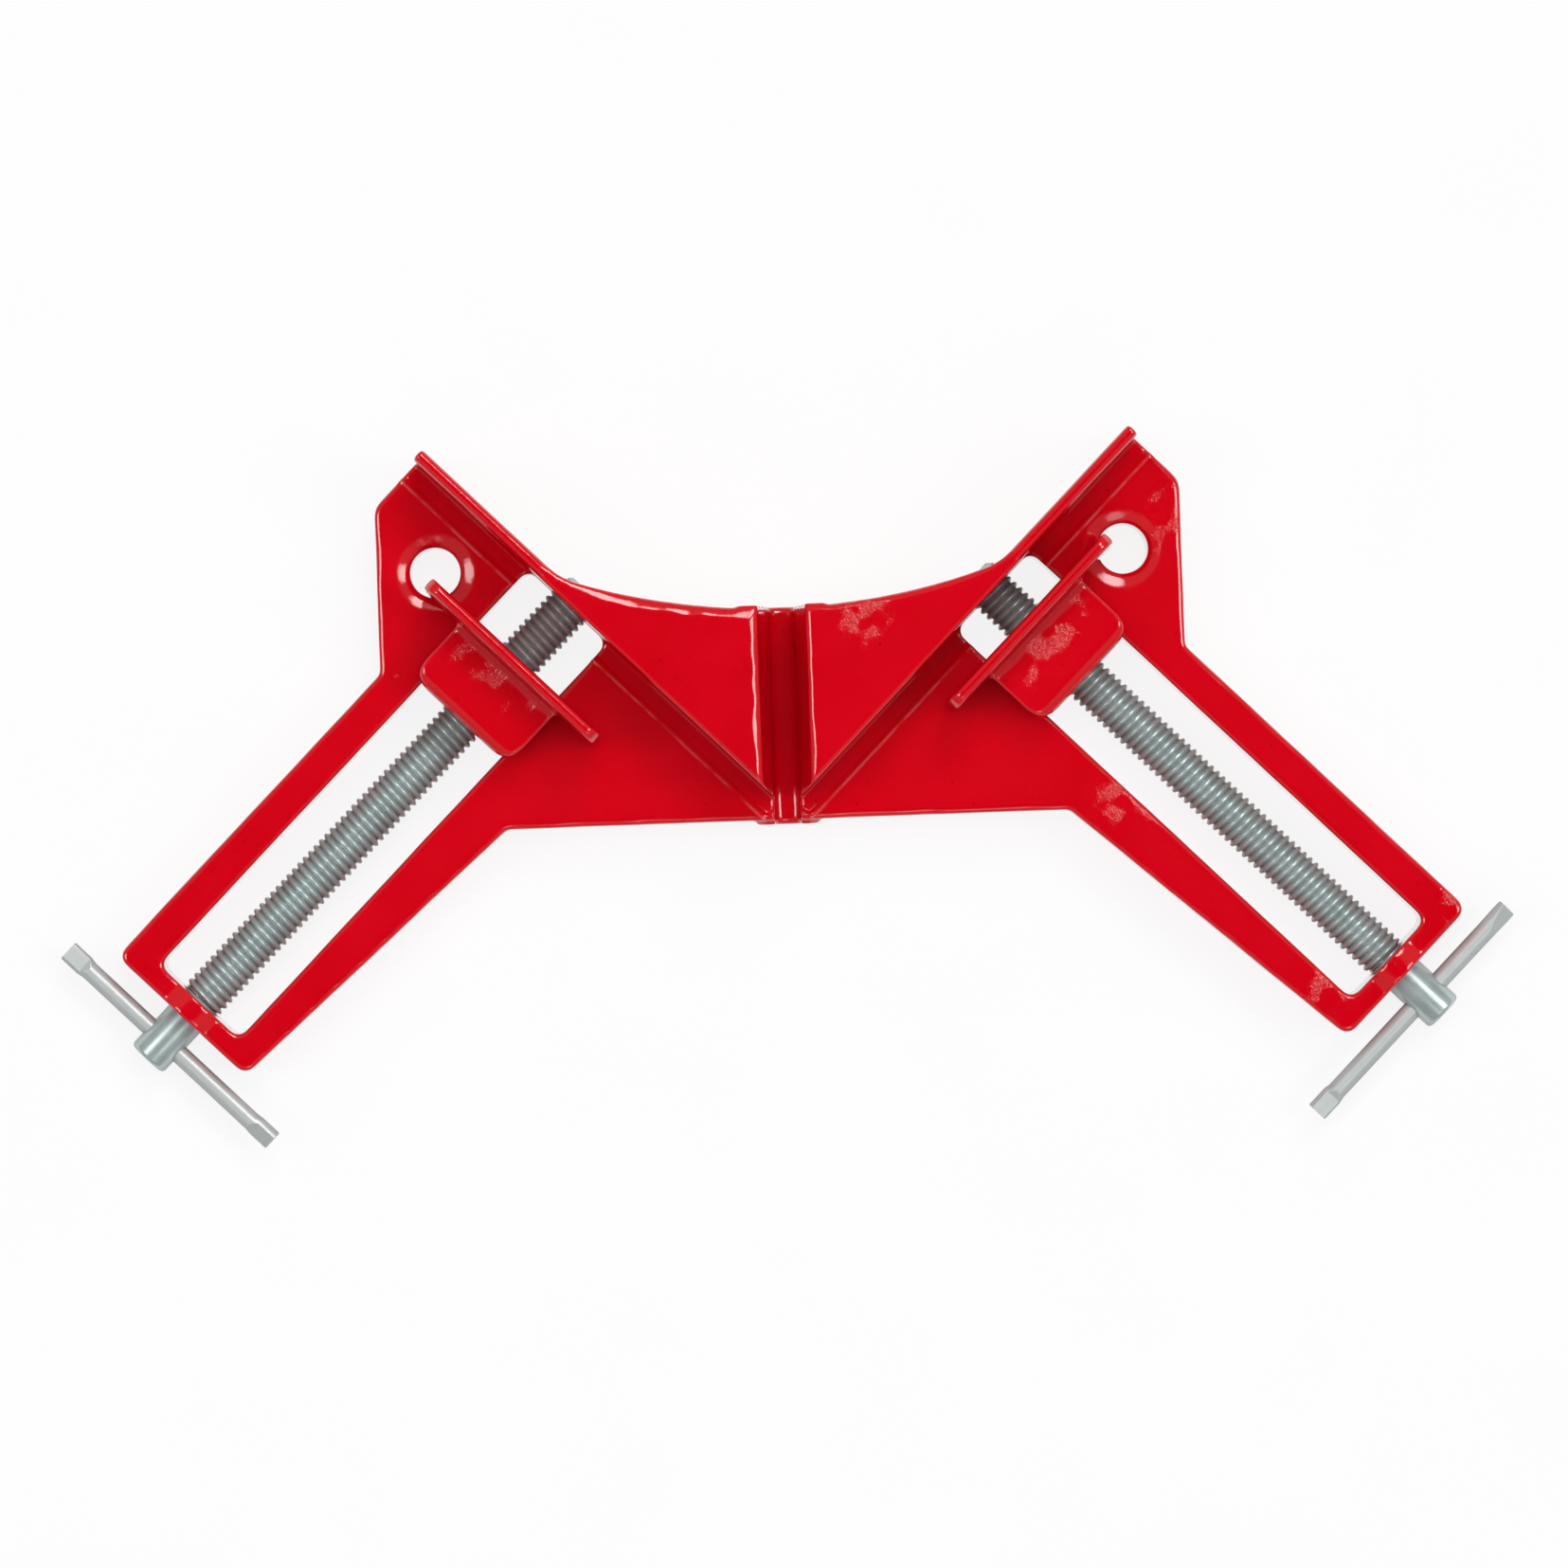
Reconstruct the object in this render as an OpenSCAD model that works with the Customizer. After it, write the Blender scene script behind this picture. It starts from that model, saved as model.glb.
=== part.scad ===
// Corner clamp for mitred joints: a cast frame with two fences at a right angle,
// two jaws that slide along slotted arms, and a lead screw with a tommy bar for each jaw.
// The origin is the corner where the two fence faces meet, on the underside.
// +X runs along the right fence, +Y along the left fence, +Z up.

/* [Frame] */
// Height of the arms and of the floor that the work lies on
floor_h = 10; // [9.5:0.25:14]
// Height of the fences and of the corner block
fence_h = 24; // [19:0.5:32]
// Length of each fence, from the corner to its ear
fence_len = 64; // [60:0.5:72]
// Thickness of a fence wall
fence_t = 1.8; // [1.4:0.1:2.4]
// Distance from the front edge to the corner, along the line of symmetry
front_off = 1.25; // [1:0.05:2]
// Half the distance across the two ears
ear_half = 50.7; // [49:0.1:53]
// Distance from the corner to the rear edge of the corner block
rear_depth = 25.2; // [23:0.1:26]
// Radius of the hollow rear edge
rear_r = 81.7; // [70:0.1:100]
// Blend between the hollow rear edge and the fence
rear_blend_r = 8; // [5:0.5:10]
// Radius of the corner where the front edge meets an arm
front_corner_r = 0.75; // [0.5:0.25:4]
// Radius of the corner where an arm meets its ear
waist_r = 0.75; // [0.5:0.25:3]
// Radius of an ear's outer corner
ear_corner_r = 2.6; // [1:0.1:4]
// Radius at the outer end of a fence
fence_end_r = 0.8; // [0.4:0.1:0.9]

/* [Arms] */
// Distance from the corner to each screw axis, along the fence
screw_off = 37.75; // [36:0.25:40]
// Length of each arm, from the fence face to the outer end
arm_len = 71; // [55:1:100]
// Width of the slot that a jaw runs in
slot_w = 13.5; // [12:0.25:14.5]
// Start of the slot, in front of the fence face
slot_start = 0.2; // [0.1:0.1:0.6]
// Width of the outer bar of an arm
outer_bar_w = 4.75; // [4:0.25:6]
// Width of the inner bar at the arm's outer end
inner_bar_end_w = 3.9; // [3:0.1:5]
// Width of the inner bar where it leaves the floor
inner_bar_root_w = 6.9; // [6:0.1:8]
// Thickness of the end bar
end_bar_t = 3; // [2.5:0.25:5]
// Radius of the boss round the screw in the end bar
end_boss_r = 6; // [5.2:0.1:6.2]
// Radius of the outer corners of an arm
arm_corner_r = 1.6; // [0.8:0.1:2.4]
// Radius of the corners of a slot and of the tongue in it
slot_corner_r = 1.2; // [0.6:0.1:1.6]

/* [Floor] */
// Width of the relief groove along the foot of a fence
relief_w = 2.6; // [2.2:0.1:3.5]
// Run of the slope between the groove and the floor
relief_edge = 0.35; // [0.1:0.05:0.6]
// Depth of the relief groove
relief_depth = 0.5; // [0.3:0.1:1.2]
// Distance of a screw-down hole from the corner, along the fence
hole_along = 52.8; // [52:0.1:55]
// Distance of a screw-down hole from the fence face
hole_out = 8.4; // [8:0.1:9.5]
// Diameter of a screw-down hole
hole_d = 6.25; // [5:0.05:7]
// Diameter of the dished recess for the screw head
recess_d = 10.4; // [9:0.1:12]
// Diameter of the dished recess's flat bottom
recess_floor_d = 7.2; // [7:0.1:8.5]
// Depth of the dished recess
recess_depth = 0.5; // [0.3:0.1:1.2]
// Wall round a screw-down hole's recess on the underside
hole_wall = 0.5; // [0.3:0.1:0.8]

/* [Saw channel] */
// Width of the channel at the top of the corner block
channel_top_w = 5.8; // [5:0.1:7]
// Width of the channel's floor
channel_floor_w = 2.9; // [2:0.1:4]
// Height of the channel's floor above the bench
channel_floor_h = 7.5; // [6:0.25:9]
// Width of the lip beside the channel at the rear
lip_w = 2.6; // [2:0.1:4]
// How far the lips stand out of the rear edge
lip_out = 0.45; // [0.2:0.05:1]
// Width of the swelling at the front end of the channel
front_pad_w = 8; // [7:0.5:12]
// How far that swelling stands out of the front edge
front_pad_out = 0.55; // [0.2:0.05:1]
// How far that swelling rises above the channel's floor
front_pad_rise = 1.5; // [0.5:0.25:2.5]

/* [Underside] */
// Thickness of the walls round the hollows of the underside
wall_t = 2.2; // [1.8:0.1:2.6]
// Thickness of the floor and of the corner block's top over the hollows
skin_t = 2.5; // [2:0.1:3.5]
// Thickness of the rib on each side of the channel
rib_t = 1.8; // [1.4:0.1:2.2]
// Thickness of the wall under the foot of a fence
foot_t = 1.2; // [1:0.1:1.5]
// Radius of the corners of the hollows
hollow_corner_r = 1; // [0.4:0.1:1.4]

/* [Screws] */
// Outer diameter of the thread
thread_d = 5.9; // [5:0.1:6.5]
// Diameter of the plain outer end
shank_d = 5.3; // [4.6:0.1:5.6]
// Height of the screw axes above the bench
screw_h = 5; // [4.75:0.05:5.25]
// How far a screw's tip stands out behind its fence
tip_out = 1.2; // [0.5:0.1:3]
// How far a screw's plain end stands out of its arm
head_out = 7; // [6:0.25:10]
// Chamfer of a screw's tip
tip_chamfer = 0.9; // [0.4:0.1:1.2]
// Chamfer of a screw's plain end
head_chamfer = 0.5; // [0.2:0.1:0.8]

/* [Tommy bars] */
// Diameter of a tommy bar
bar_d = 2.4; // [2:0.1:2.6]
// Length of a tommy bar
bar_len = 35.2; // [28:0.2:50]
// Distance from a tommy bar's axis to the screw's outer end
bar_from_end = 3.2; // [2.5:0.1:3.5]
// Length of a flattened end
flat_len = 3.6; // [2.5:0.1:5]
// Width of a flattened end
flat_w = 2.8; // [2.7:0.1:3.4]
// Thickness of a flattened end
flat_t = 1.7; // [1.2:0.1:2]
// Radius of the corners of a flattened end
flat_corner_r = 0.7; // [0.3:0.1:0.9]
// How far the left bar is pushed through, towards the fence's outer end
left_bar_shift = -1; // [-8:0.5:8]
// How far the right bar is pushed through, towards the fence's outer end
right_bar_shift = -2.5; // [-8:0.5:8]

/* [Jaws] */
// Gap between the left fence and its jaw
left_gap = 9; // [0.2:0.2:50]
// Gap between the right fence and its jaw
right_gap = 5.2; // [0.2:0.2:50]
// Length of a jaw plate
plate_len = 28.8; // [20:0.2:30]
// Thickness of a jaw plate at its top
plate_t = 1.7; // [1.4:0.1:2.4]
// Thickness that a jaw plate gains towards its foot
plate_draft = 0.4; // [0:0.1:0.8]
// Height of the jaw plates above the bench
plate_h = 24; // [20:0.5:32]
// Radius of a jaw plate's upper corners
plate_corner_r = 2.2; // [0.5:0.1:4]
// Width of a jaw block
block_w = 16.5; // [15.5:0.25:18]
// Depth of a jaw, from the plate's face to the block's rear
jaw_depth = 10.9; // [9:0.1:14]
// Height of a jaw block above the bench
block_h = 17; // [15:0.25:18.5]
// Radius of the block's rear corners
block_corner_r = 2.6; // [1.5:0.1:4]
// Radius along the block's top edge and of the fillet at the plate
block_edge_r = 1.5; // [0.8:0.1:2]
// How far the tongue's front is set back from the plate's face
tongue_back = 0.6; // [0.5:0.1:1.5]
// Height of the tongue's underside above the bench
tongue_foot = 1.2; // [0.6:0.1:1.6]

/* [Fits] */
// Radial clearance of the screws and tommy bars in their holes
run_gap = 0.08; // [0.03:0.01:0.1]
// Clearance on each side of a tongue in its slot
slide_gap = 0.2; // [0.1:0.05:0.4]
// Clearance between a jaw and the arm it slides on
lift_gap = 0.15; // [0.05:0.05:0.3]
// Clearance between the thread's shoulder and the end bar
shoulder_gap = 0.1; // [0.05:0.05:0.3]

/* [Hidden] */
$fn = 48;
red = [0.78, 0.02, 0.06];
zinc = [0.72, 0.74, 0.75];
bright_steel = [0.80, 0.80, 0.79];
eps = 0.01;
over = 1;
diag = sqrt(2);
corner_steps = 5;
arc_steps = 12;

// Each half is drawn in its own plan: the first coordinate runs along the fence from the corner,
// the second runs away from the fence face towards the end of the arm.
slot_in = screw_off - slot_w / 2;
slot_out = screw_off + slot_w / 2;
slot_end = arm_len - end_bar_t;
arm_out = slot_out + outer_bar_w;
front_corner = slot_in - inner_bar_root_w;
rear_centre = (rear_depth + rear_r) / diag;
blend_reach = rear_centre - fence_t - rear_blend_r;
blend_along = sqrt(pow(rear_r - rear_blend_r, 2) - pow(blend_reach, 2));
blend_centre = [rear_centre - blend_along, -fence_t - rear_blend_r];
blend_angle = atan2(rear_centre + blend_centre[1], blend_centre[0] - rear_centre);
rib_half = channel_top_w / 2 + rib_t;
bar_at = arm_len + head_out - bar_from_end;
jaw_foot = floor_h + lift_gap;

function unit(v) = v / norm(v);
function arc(centre, r, from, to, steps) =
    [for (i = [0:steps]) let (t = from + (to - from) * i / steps) centre + r * [cos(t), sin(t)]];

// Points of an arc of radius r that rounds the corner between two neighbours
function round_corner(before, corner, after, r) =
    let (u = unit(before - corner), v = unit(after - corner), half = acos(u * v) / 2)
    let (centre = corner + unit(u + v) * r / sin(half))
    let (first = corner + u * r / tan(half) - centre, turn = sign(cross(u, v)) * (180 - 2 * half))
    let (start = atan2(first[1], first[0]))
    arc(centre, r, start, start - turn, corner_steps);

// A polygon whose corners are [first, second, radius], with a radius of 0 for a sharp one
function rounded(corners) =
    let (n = len(corners), at = [for (c = corners) [c[0], c[1]]])
    [for (i = [0:n - 1]) each corners[i][2] == 0 ? [at[i]]
        : round_corner(at[(i + n - 1) % n], at[i], at[(i + 1) % n], corners[i][2])];

function on_right(points) = [for (p = points) [p[0], -p[1]]];
function on_left(points) = [for (i = [len(points) - 1:-1:0]) [-points[i][1], points[i][0]]];
function both(points) = concat(on_right(points), on_left(points));

// Rear edge of one half, from the fence to the line of symmetry
rear_edge = concat(arc(blend_centre, rear_blend_r, 90, blend_angle, corner_steps),
                   arc([rear_centre, -rear_centre], rear_r, blend_angle, 135, arc_steps));

// Half outlines, without their ends on the line of symmetry
base_half = rounded([
    [-front_off / diag, front_off / diag, 0],
    [front_corner, front_corner + front_off * diag, front_corner_r],
    [slot_in - inner_bar_end_w, arm_len, arm_corner_r],
    [arm_out, arm_len, arm_corner_r],
    [arm_out, ear_half * diag - arm_out, waist_r],
    [fence_len, ear_half * diag - fence_len, ear_corner_r],
    [fence_len, -fence_t, fence_end_r],
    [blend_centre[0], -fence_t, 0]]);

module left() { rotate(90) children(); }
module right() { mirror([0, 1, 0]) children(); }
module sides() {
    left() children();
    right() children();
}

// Turns the line of symmetry, drawn along +Y, to where it lies between +X and +Y
module symmetry() { rotate(-45) children(); }

// Extrudes a profile drawn as [away from the fence, height] along the fence, between two places
module along_fence(from, to, profile) {
    translate([from, 0, 0]) rotate([90, 0, 90]) linear_extrude(to - from) polygon(profile);
}

// A cylinder that lies on the screw's axis, between two places
module on_screw_axis(from, to, r) {
    translate([screw_off, from, screw_h]) rotate([-90, 0, 0]) cylinder(h = to - from, r = r);
}

module base() {
    linear_extrude(floor_h) polygon(both(concat(base_half, rear_edge)));
    symmetry() translate([-front_pad_w / 2, -front_off - front_pad_out, 0])
        cube([front_pad_w, front_off + front_pad_out, channel_floor_h + front_pad_rise]);
}

// The corner block, which rises to the height of the fences behind the corner
module corner_block() {
    linear_extrude(fence_h) polygon(both(concat([[0, 0], [blend_centre[0], 0]], rear_edge)));
    symmetry() translate([-channel_top_w / 2 - lip_w, rear_depth - lip_w, 0])
        cube([channel_top_w + 2 * lip_w, lip_w + lip_out, fence_h]);
}

module fence() {
    r = fence_t / 2;
    along_fence(blend_centre[0] - over, fence_len, concat([[-fence_t, 0], [0, 0]],
        arc([-r, fence_h - r], r, 0, 180, arc_steps)));
}

// A swelling of the end bar over the screw, without the part of it that would lie below the bench
module end_boss() {
    intersection() {
        on_screw_axis(slot_end, arm_len, end_boss_r);
        translate([screw_off - end_boss_r, slot_end, 0])
            cube([2 * end_boss_r, end_bar_t, floor_h + end_boss_r]);
    }
}

// A rectangle in plan with the corner radius of a slot
function slot_shape(in, out, from, to) =
    rounded([for (p = [[in, from], [out, from], [out, to], [in, to]]) [p[0], p[1], slot_corner_r]]);

module slot_cut() {
    translate([0, 0, -over]) linear_extrude(floor_h + 2 * over)
        polygon(slot_shape(slot_in, slot_out, slot_start, slot_end));
}

// A groove along the fence's foot, so that a burr on the work doesn't hold it off the fence
module relief_cut() {
    bottom = floor_h - relief_depth;
    along_fence(front_off, fence_len + over, [[0, bottom], [relief_w - relief_edge, bottom],
        [relief_w, floor_h], [relief_w, floor_h + eps], [0, floor_h + eps]]);
}

module hole_cut() {
    translate([hole_along, hole_out, -over]) cylinder(h = floor_h + 2 * over, d = hole_d);
    translate([hole_along, hole_out, floor_h - recess_depth])
        cylinder(h = recess_depth + eps, d1 = recess_floor_d, d2 = recess_d);
}

module channel_cut() {
    rise = fence_h - channel_floor_h;
    flare = (channel_top_w - channel_floor_w) / 2 * (rise + over) / rise;
    half = channel_floor_w / 2;
    from = front_off + front_pad_out + over;
    to = rear_depth + lip_out + over;
    symmetry() translate([0, to, 0]) rotate([90, 0, 0]) linear_extrude(from + to) polygon([
        [-half, channel_floor_h], [half, channel_floor_h],
        [half + flare, fence_h + over], [-half - flare, fence_h + over]]);
}

module hollow(top, corners) {
    translate([0, 0, -over]) linear_extrude(top + over) polygon(corners);
}

// Under each half: a tall hollow in the corner block, and a low one on each side of the slot
module underside_cut() {
    inner_r = rear_r + wall_t;
    rib_edge = rib_half * diag;
    front_edge = (front_off - wall_t) * diag;
    floor_end = slot_in - wall_t;
    ear_from = slot_out + wall_t;
    ear_edge = (ear_half - wall_t) * diag;
    hollow(fence_h - skin_t, concat([[rib_edge + wall_t, -wall_t], [slot_in, -wall_t]],
        arc([rear_centre, -rear_centre], inner_r, acos((slot_in - rear_centre) / inner_r),
            135 - asin(rib_half / inner_r), arc_steps)));
    hollow(floor_h - skin_t, rounded([
        [rib_edge - foot_t, foot_t, hollow_corner_r],
        [floor_end, foot_t, hollow_corner_r],
        [floor_end, floor_end + front_edge, hollow_corner_r],
        [(rib_edge - front_edge) / 2, (rib_edge + front_edge) / 2, 0]]));
    difference() {
        hollow(floor_h - skin_t, rounded([
            [ear_from, foot_t, hollow_corner_r],
            [fence_len - wall_t, foot_t, hollow_corner_r],
            [fence_len - wall_t, ear_edge - fence_len + wall_t, hollow_corner_r],
            [ear_from, ear_edge - ear_from, hollow_corner_r]]));
        translate([hole_along, hole_out, -over]) cylinder(h = floor_h + over, d = recess_d + 2 * hole_wall);
    }
}

module frame() {
    color(red) difference() {
        union() {
            base();
            corner_block();
            sides() fence();
            sides() end_boss();
        }
        sides() slot_cut();
        sides() relief_cut();
        sides() hole_cut();
        sides() underside_cut();
        sides() on_screw_axis(-rear_blend_r, slot_start + over, thread_d / 2 + run_gap);
        sides() on_screw_axis(slot_end - over, arm_len + over, shank_d / 2 + run_gap);
        channel_cut();
    }
}

// A jaw's plate, with a round top edge and round upper corners
module plate(gap) {
    r = plate_t / 2;
    rear = gap + plate_t + plate_draft;
    from = screw_off - plate_len / 2;
    to = screw_off + plate_len / 2;
    intersection() {
        along_fence(from, to, concat([[rear, jaw_foot], [gap, jaw_foot]],
            arc([gap + r, plate_h - r], r, 180, 0, arc_steps)));
        translate([0, rear + over, 0]) rotate([90, 0, 0]) linear_extrude(rear - gap + 2 * over)
            polygon(rounded([
                [from, 0, 0],
                [to, 0, 0],
                [to, plate_h, plate_corner_r],
                [from, plate_h, plate_corner_r]]));
    }
}

// A jaw whose plate stands a gap away from the fence
module jaw(gap) {
    r = plate_t / 2;
    tongue_half = slot_w / 2 - slide_gap;
    plate_rear = gap + plate_t;
    color(red) difference() {
        union() {
            plate(gap);
            intersection() {
                along_fence(screw_off - block_w, screw_off + block_w, rounded([
                    [gap + r, jaw_foot, 0],
                    [gap + jaw_depth, jaw_foot, 0],
                    [gap + jaw_depth, block_h, block_edge_r],
                    [plate_rear, block_h, block_edge_r],
                    [plate_rear, block_h + 2 * block_edge_r, 0],
                    [gap + r, block_h + 2 * block_edge_r, 0]]));
                linear_extrude(plate_h) polygon(rounded([
                    [screw_off - block_w / 2, gap + r, 0],
                    [screw_off + block_w / 2, gap + r, 0],
                    [screw_off + block_w / 2, gap + jaw_depth, block_corner_r],
                    [screw_off - block_w / 2, gap + jaw_depth, block_corner_r]]));
            }
            translate([0, 0, tongue_foot]) linear_extrude(jaw_foot - tongue_foot + over) polygon(slot_shape(
                screw_off - tongue_half, screw_off + tongue_half, gap + tongue_back, gap + jaw_depth));
        }
        on_screw_axis(gap - over, gap + jaw_depth + over, thread_d / 2 + run_gap);
    }
}

module screw() {
    tip = -fence_t - tip_out;
    shoulder = slot_end - shoulder_gap;
    head = arm_len + head_out;
    color(zinc) difference() {
        translate([screw_off, 0, screw_h]) rotate([-90, 0, 0]) rotate_extrude() polygon([
            [0, tip],
            [thread_d / 2 - tip_chamfer, tip],
            [thread_d / 2, tip + tip_chamfer],
            [thread_d / 2, shoulder],
            [shank_d / 2, shoulder],
            [shank_d / 2, head - head_chamfer],
            [shank_d / 2 - head_chamfer, head],
            [0, head]]);
        translate([screw_off, bar_at, screw_h]) rotate([0, 90, 0])
            cylinder(h = 2 * thread_d, d = bar_d + 2 * run_gap, center = true);
    }
}

module tommy_bar(shift) {
    round_end = bar_len / 2 - flat_len;
    spread_end = round_end + flat_t / 2;
    color(bright_steel) translate([screw_off + shift, bar_at, screw_h]) {
        rotate([0, 90, 0]) cylinder(h = 2 * round_end + 2 * eps, d = bar_d, center = true);
        for (end = [0, 180]) {
            rotate(end) translate([0, 0, -flat_t / 2]) linear_extrude(flat_t) polygon(rounded([
                [round_end, -flat_t / 2, 0],
                [spread_end, -flat_w / 2, flat_corner_r],
                [bar_len / 2, -flat_w / 2, flat_corner_r],
                [bar_len / 2, flat_w / 2, flat_corner_r],
                [spread_end, flat_w / 2, flat_corner_r],
                [round_end, flat_t / 2, 0]]));
        }
    }
}

module left_jaw() { left() jaw(left_gap); }
module right_jaw() { right() jaw(right_gap); }
module left_screw() { left() screw(); }
module right_screw() { right() screw(); }
module left_tommy_bar() { left() tommy_bar(left_bar_shift); }
module right_tommy_bar() { right() tommy_bar(right_bar_shift); }

frame();
left_jaw();
right_jaw();
left_screw();
right_screw();
left_tommy_bar();
right_tommy_bar();
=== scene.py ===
"""Looks of the corner clamp: red enamelled castings, threaded screws and drawn tommy bars."""

import math

import bmesh
import bpy
import numpy as np
from mathutils import Matrix, Vector, noise


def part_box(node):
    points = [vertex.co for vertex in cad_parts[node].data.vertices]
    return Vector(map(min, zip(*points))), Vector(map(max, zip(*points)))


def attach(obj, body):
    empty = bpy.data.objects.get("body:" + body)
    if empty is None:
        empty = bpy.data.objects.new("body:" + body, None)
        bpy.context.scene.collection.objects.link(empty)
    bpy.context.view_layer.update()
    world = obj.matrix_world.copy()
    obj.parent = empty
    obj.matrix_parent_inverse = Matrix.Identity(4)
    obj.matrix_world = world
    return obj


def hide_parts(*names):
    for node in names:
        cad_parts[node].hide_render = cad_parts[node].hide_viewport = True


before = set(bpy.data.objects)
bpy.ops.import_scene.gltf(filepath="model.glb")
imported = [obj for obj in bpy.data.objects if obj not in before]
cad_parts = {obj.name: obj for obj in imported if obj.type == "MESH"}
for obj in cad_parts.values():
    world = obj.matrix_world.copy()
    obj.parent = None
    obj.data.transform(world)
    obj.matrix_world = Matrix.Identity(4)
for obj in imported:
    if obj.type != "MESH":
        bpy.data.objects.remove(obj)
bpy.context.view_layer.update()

MM = 0.001
MOTTLE = "mottle"

# The photograph's right and top as directions along the floor
IMAGE_RIGHT = Vector((1, -1, 0)).normalized()
IMAGE_UP = Vector((1, 1, 0)).normalized()
UP = Vector((0, 0, 1))

# The photograph's camera, fitted to the clamp: turns in degrees, places in millimetres
IMAGE_PX = 1655
CAM_DIST = 1300.0
CAM_TURN = (-0.27, 0.21, 2.04)
CAM_CENTRE = (-0.46, 3.33)
CAM_PX_PER_MM = 8.333
SENSOR = 36.0

# The floor: half its width in metres, and how much of it shows plain white
FLOOR_HALF = 4
FLOOR_GLOW = 0.86

# The lamp: angle in the picture and height in degrees, distance and size in metres, energy in watts
LAMP_AT = (100, 84)
LAMP_DIST = 0.8
LAMP_SIZE = 0.45
LAMP_ENERGY = 2.2

# Brightness of the surround against the height of the direction, from the horizon to straight up
SKY = ((0.0, 0.2), (0.3, 0.2), (0.6, 0.25), (0.88, 0.25), (0.945, 0.02), (1.0, 0.0))

# Soft round patches of light in the surround: angle in the picture, height and reach in degrees,
# brightness
PATCHES = ((67, 54, 10.5, 7.0), (2, 54, 10, 6.2), (178, 54, 9.5, 4.9), (285, 54, 9, 1.6))
PATCH_EDGE = (1.25, 0.75)

# Colours of the three finishes; pairs are the ends of a cloudy mix
RED = ((0.64, 0.0, 0.006, 1), (0.69, 0.0004, 0.009, 1))
RED_SPECK = (0.36, 0.0, 0.004, 1)
# The next colour is a painted highlight along the relief groove's bead.
BEAD_HIGHLIGHT = (0.8, 0.16, 0.17, 1)
CHIPPED = (0.42, 0.4, 0.38, 1)
ZINC = ((0.45, 0.54, 0.53, 1), (0.59, 0.69, 0.68, 1))
# The next two colours are painted shade: on the screws' sides, and in the thread roots.
ZINC_SIDE_SHADE = (0.12, 0.125, 0.12, 1)
THREAD_ROOT_SHADE = (0.1, 0.1, 0.095, 1)
STEEL = ((0.65, 0.7, 0.695, 1), (0.7, 0.745, 0.735, 1))
STEEL_MARK = (0.36, 0.38, 0.38, 1)
# The next colour is painted shade on the bars' sides.
STEEL_SIDE_SHADE = (0.16, 0.18, 0.18, 1)
WHITE = (1, 1, 1, 1)

# Plan of the frame casting, in millimetres
FLOOR_H = 10.0
FENCE_H = 24.0
REAR_CENTRE = 75.59
REAR_R = 81.7
CHANNEL_HALF = 2.9
RELIEF_W = 2.6
BEAD_OUT = 0.3

# Worn rims of the corner block, in millimetres: their slope, their widths on the left and right
# half, how ragged they are, and where they begin and end by height and by distance from the corner
RIM_SLOPE = 0.34
RIM_MOST = 3
REAR_RIM_W = (1.3, 0.7)
CHANNEL_RIM_W = (1.0, 0.7)
RIM_RAGGED = 0.3
RIM_FROM_H, RIM_OVER_H = 21, 2.4
RIM_TO_R, RIM_OVER_R = 40, 6

# Small marks in the enamel, by their places in plan: mottled patches with their reach, and pimples
# with their radius and how hollow they are
MOTTLED = (
    (24.0, 9.3, 3.4), (30.2, -30.0, 3.6), (6.8, 16.7, 0.8),
    (48.2, -70.0, 2.2), (29.1, -65.0, 2.6), (59.4, -8.9, 2.8),
)
PIMPLES = (
    (-3.6, 26.0, 0.45, 0), (26.4, -20.9, 0.35, 0),
    (19.5, -8.0, 0.5, 0.8), (-14.5, 51.7, 0.35, 0),
)

# Making of the castings: voxel sizes in millimetres, smoothing steps and triangle counts
FRAME_VOXEL = 0.28
JAW_VOXEL = 0.25
WELD_GAP = 0.002
SMOOTH_STEPS = 15
FRAME_FACES = 240000
JAW_FACES = 50000

# How far each smoothing step goes on the frame's low edges, tall edges, arms, groove, groove's
# outer edge and underside, and on a jaw's plate and block
SOFT_LOW = 0.5
SOFT_TALL = 0.22
SOFT_ARM = 0.34
SOFT_GROOVE = 0.05
SOFT_GROOVE_EDGE = 0.12
SOFT_BASE = 0.3
SOFT_MOST = 0.6
SOFT_PLATE = 0.15
SOFT_BLOCK = 0.4
BASE_H = 1.5
ARM_FROM = 14

# A jaw, in millimetres: range of heights of its block's top, and the mottled strip on it
BLOCK_TOP = (16, 18)
PLATE_T = 2
STRIP_AT, STRIP_REACH = 4.4, 2.0
STRIP_HALF, STRIP_FADE = 7.4, 2

# Lumps of the skin in millimetres: depth and size of the broad ones and of the fine ones
BROAD_LUMP = (0.04, 9)
FINE_LUMP = (0.014, 2.5)

# Screws, in millimetres
PITCH = 1.0
THREAD_DEPTH = 0.54
TURN_STEPS = 40
PITCH_STEPS = 10
TIP_R = 2.05
TIP_SLOPE = 1.1
RUNOUT_R = 2.2
RUNOUT_SLOPE = 2.5
SHANK_R = 2.65
SHANK_LEN = 10.1
HEAD_CHAMFER = 0.5
HOLE_R = 1.28
HOLE_STEPS = 32
HOLE_FROM_END = 3.2
JOIN_GAP = 0.0002
SCREW_SHARP_DEG = 52

# Tommy bars, in millimetres
BAR_R = 1.2
BAR_STEPS = 96
BAR_END = 0.1
FLAT_LEN = 3.6
FLAT_LEAD = 0.6
FLAT_STATIONS = 44
FLAT_SPREAD = 1.13
FLAT_HALF_T = 0.8
PRESS_LEN = 0.8
WEDGE_LEAD = 0.5
WEDGE_THIN = 0.6
BAR_SHARP_DEG = 14

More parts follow.
